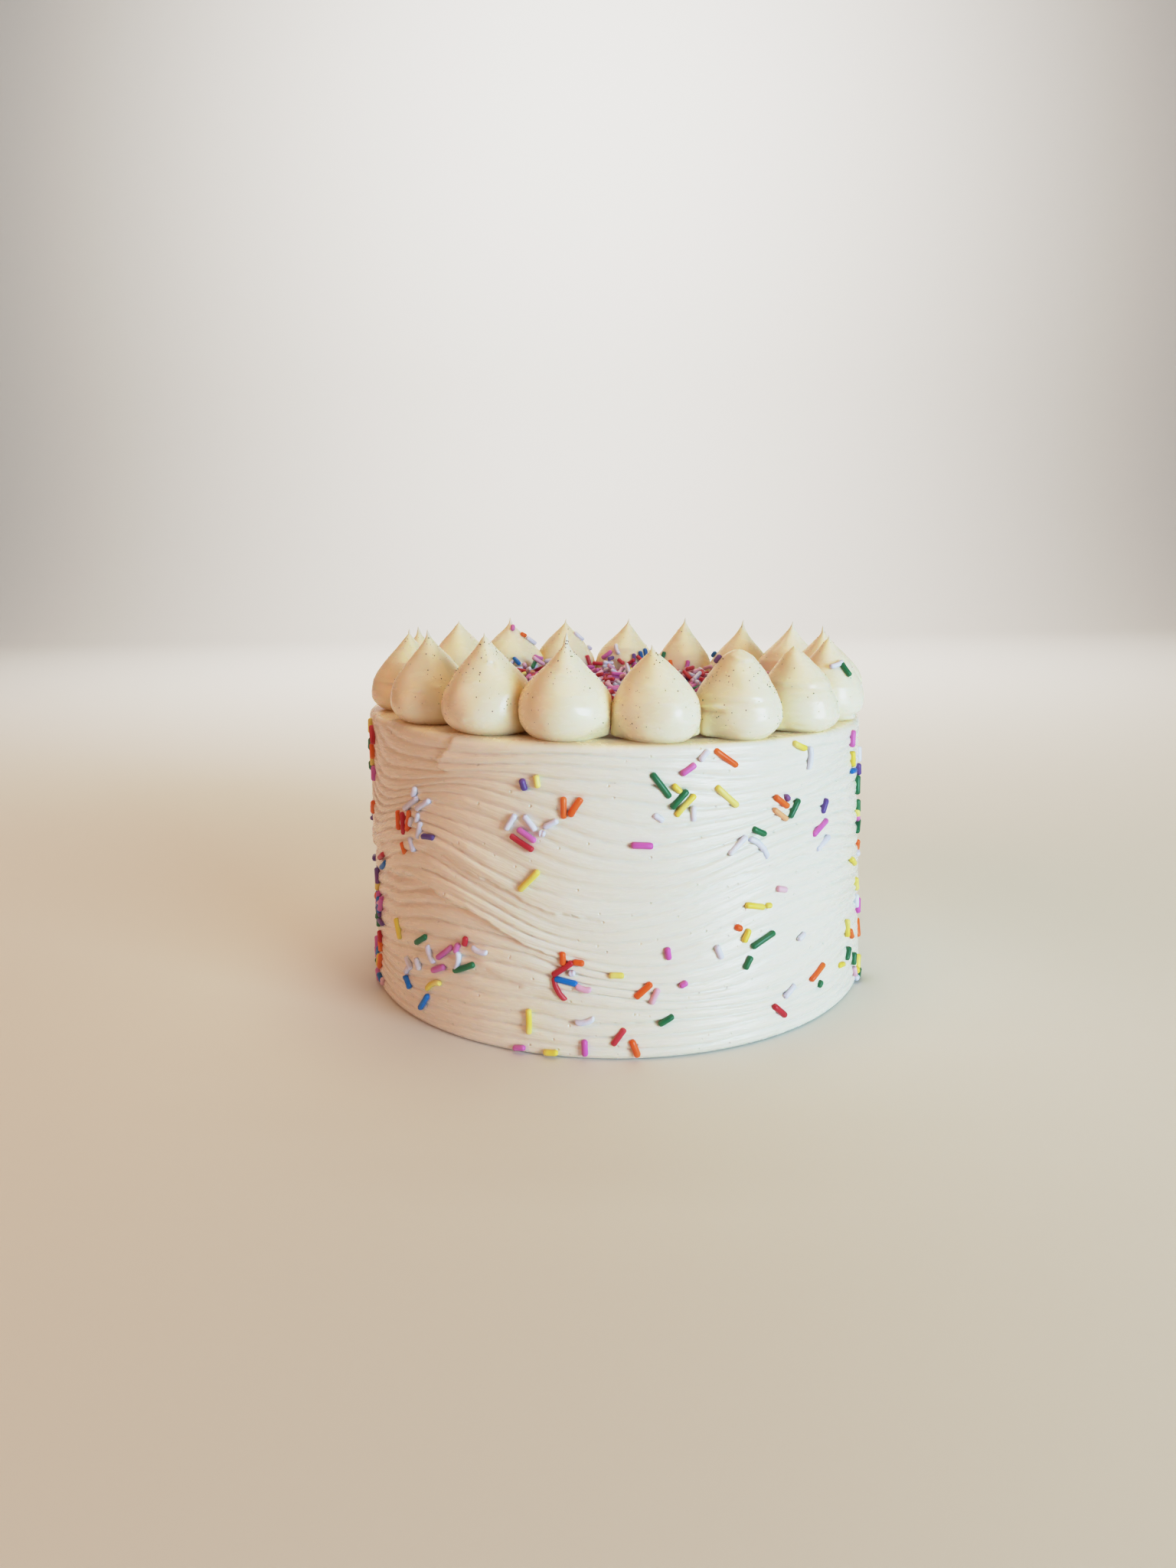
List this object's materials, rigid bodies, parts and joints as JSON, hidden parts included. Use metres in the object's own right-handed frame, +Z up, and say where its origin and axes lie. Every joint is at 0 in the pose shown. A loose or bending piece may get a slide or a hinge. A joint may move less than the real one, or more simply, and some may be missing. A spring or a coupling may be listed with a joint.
{
  "type": "round birthday cake with piped buttercream kisses and sprinkles",
  "caption": "Round buttercream cake with combed sides, a ring of piped kisses on its rim, a heap of sugar sprinkles inside the ring and more on its side.",
  "frame": {"origin": "centre of the flat underside, where the cake rests", "axes": "+Z up; -Y towards the front, the side that carries the clusters of sprinkles as shown"},
  "size_m": [0.1831, 0.1862, 0.1276],
  "materials": {
    "buttercream": "soft ivory buttercream, satin, faintly translucent",
    "piped_cream": "smooth cream buttercream with a soft sheen",
    "vanilla": "black vanilla specks",
    "sugar_white": "waxy sugar, white",
    "sugar_yellow": "waxy sugar, yellow",
    "sugar_orange": "waxy sugar, orange",
    "sugar_red": "waxy sugar, red",
    "sugar_pink": "waxy sugar, orchid pink",
    "sugar_green": "waxy sugar, green",
    "sugar_blue": "waxy sugar, blue",
    "sugar_purple": "waxy sugar, purple"
  },
  "bodies": {
    "root": {"frosted_cake": "buttercream", "sprinkle_heap": "sugar_pink", "kiss_01": "piped_cream", "kiss_02": "piped_cream", "kiss_03": "piped_cream", "kiss_04": "piped_cream", "kiss_05": "piped_cream", "kiss_06": "piped_cream", "kiss_07": "piped_cream", "kiss_08": "piped_cream", "kiss_09": "piped_cream", "kiss_10": "piped_cream", "kiss_11": "piped_cream", "kiss_12": "piped_cream", "kiss_13": "piped_cream", "kiss_14": "piped_cream", "kiss_15": "piped_cream", "kiss_16": "piped_cream", "kiss_17": "piped_cream"}
  },
  "joints": []
}
